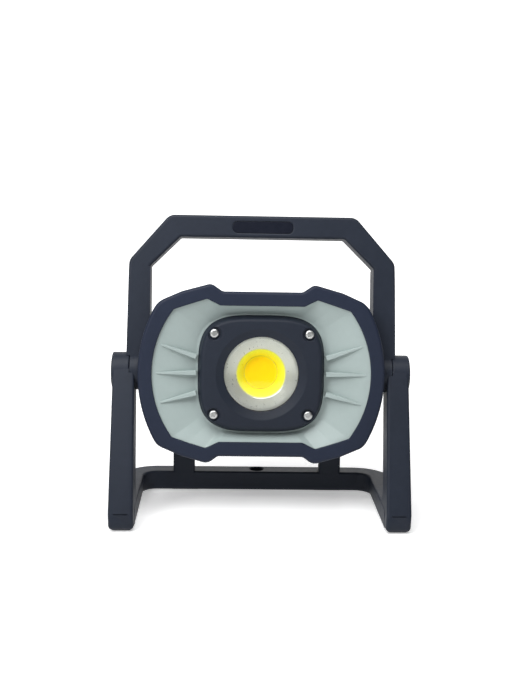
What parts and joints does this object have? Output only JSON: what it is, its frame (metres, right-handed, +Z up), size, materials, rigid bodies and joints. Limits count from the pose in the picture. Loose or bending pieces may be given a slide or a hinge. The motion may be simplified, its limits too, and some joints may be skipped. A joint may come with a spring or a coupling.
{
  "type": "rechargeable work light",
  "caption": "Portable LED work light: lamp head with a dished front panel and bumper bezel, folding carrying handle and open floor stand on one common tilt axis.",
  "frame": {"origin": "on the floor, in the middle of the stand's footprint", "axes": "+Z up, the lamp faces -Y, +X to the right as seen from the front; the stand's open side is at the front"},
  "size_m": [0.224, 0.1112, 0.2249],
  "materials": {
    "frame_plastic": "fine texture, satin",
    "housing_plastic": "fine texture, satin",
    "bezel_plastic": "soft bumper moulding, satin",
    "panel_plastic": "satin grey-green",
    "module_plastic": "satin",
    "plate_plastic": "smooth",
    "lens_glass": "clear",
    "seal_rubber": "matt",
    "pad_rubber": "matt",
    "flap_rubber": "matt",
    "button_rubber": "matt",
    "reflector_chrome": "vacuum-metallised plastic",
    "led_phosphor": "yellow phosphor",
    "board_aluminium": "solder mask over aluminium",
    "thermal_pad": "soft silicone",
    "sink_aluminium": "extruded",
    "cell_wrap": "blue shrink wrap",
    "tray_plastic": "plain",
    "board_green": "solder mask",
    "window_plastic": "translucent white",
    "lead_sheath": "flat red sheath",
    "steel": "zinc plated",
    "brass": "turned",
    "nylon": "natural nylon"
  },
  "bodies": {
    "stand": {"stand_frame": "frame_plastic", "foot_pad_front_left": "pad_rubber", "foot_pad_front_right": "pad_rubber", "foot_pad_rear_left": "pad_rubber", "foot_pad_rear_right": "pad_rubber", "outer_washer_left": "nylon", "outer_washer_right": "nylon", "pivot_cap_left": "frame_plastic", "pivot_cap_right": "frame_plastic"},
    "handle": {"handle_frame": "frame_plastic", "handle_plate": "plate_plastic", "handle_bush_left": "nylon", "handle_bush_right": "nylon"},
    "head": {"battery_cell_left_1": "cell_wrap", "battery_cell_left_2": "cell_wrap", "battery_cell_right_1": "cell_wrap", "battery_cell_right_2": "cell_wrap", "battery_lead_left": "lead_sheath", "battery_lead_right": "lead_sheath", "battery_tray_left": "tray_plastic", "battery_tray_right": "tray_plastic", "charge_level_window": "window_plastic", "charging_socket": "steel", "control_board": "board_green", "front_bezel": "bezel_plastic", "front_panel": "panel_plastic", "heat_sink": "sink_aluminium", "inner_washer_left": "nylon", "inner_washer_right": "nylon", "led_board": "board_aluminium", "led_emitter": "led_phosphor", "led_lead": "lead_sheath", "lens": "lens_glass", "lens_gasket": "seal_rubber", "module_housing": "module_plastic", "module_screw_lower_left": "steel", "module_screw_lower_right": "steel", "module_screw_upper_left": "steel", "module_screw_upper_right": "steel", "panel_seal": "seal_rubber", "pivot_bolt_left": "steel", "pivot_bolt_right": "steel", "pivot_insert_left": "brass", "pivot_insert_right": "brass", "power_switch": "tray_plastic", "rear_housing": "housing_plastic", "rear_screw_lower_left": "steel", "rear_screw_lower_right": "steel", "rear_screw_upper_left": "steel", "rear_screw_upper_right": "steel", "reflector": "reflector_chrome", "thermal_pad": "thermal_pad"},
    "button": {"power_button": "button_rubber"},
    "port_flap": {"port_cover": "flap_rubber"}
  },
  "joints": [
    {"name": "handle_hinge", "type": "hinge", "parent": "stand", "child": "handle", "pos_m": [0, -0.00253, 0.10858], "axis": [-1, 0, 0], "range_deg": [-45, 115]},
    {"name": "head_hinge", "type": "hinge", "parent": "handle", "child": "head", "pos_m": [0, -0.00253, 0.10858], "axis": [1, 0, 0], "range_deg": [-10, 150]},
    {"name": "power_button_press", "type": "slide", "parent": "head", "child": "button", "axis": [0, -0.9945, 0.1045], "range_m": [0, 0.0012], "stiffness_N_per_m": 1500},
    {"name": "port_cover_hinge", "type": "hinge", "parent": "head", "child": "port_flap", "pos_m": [0, 0.02669, 0.08238], "axis": [1, 0, 0], "range_deg": [0, 90]}
  ]
}
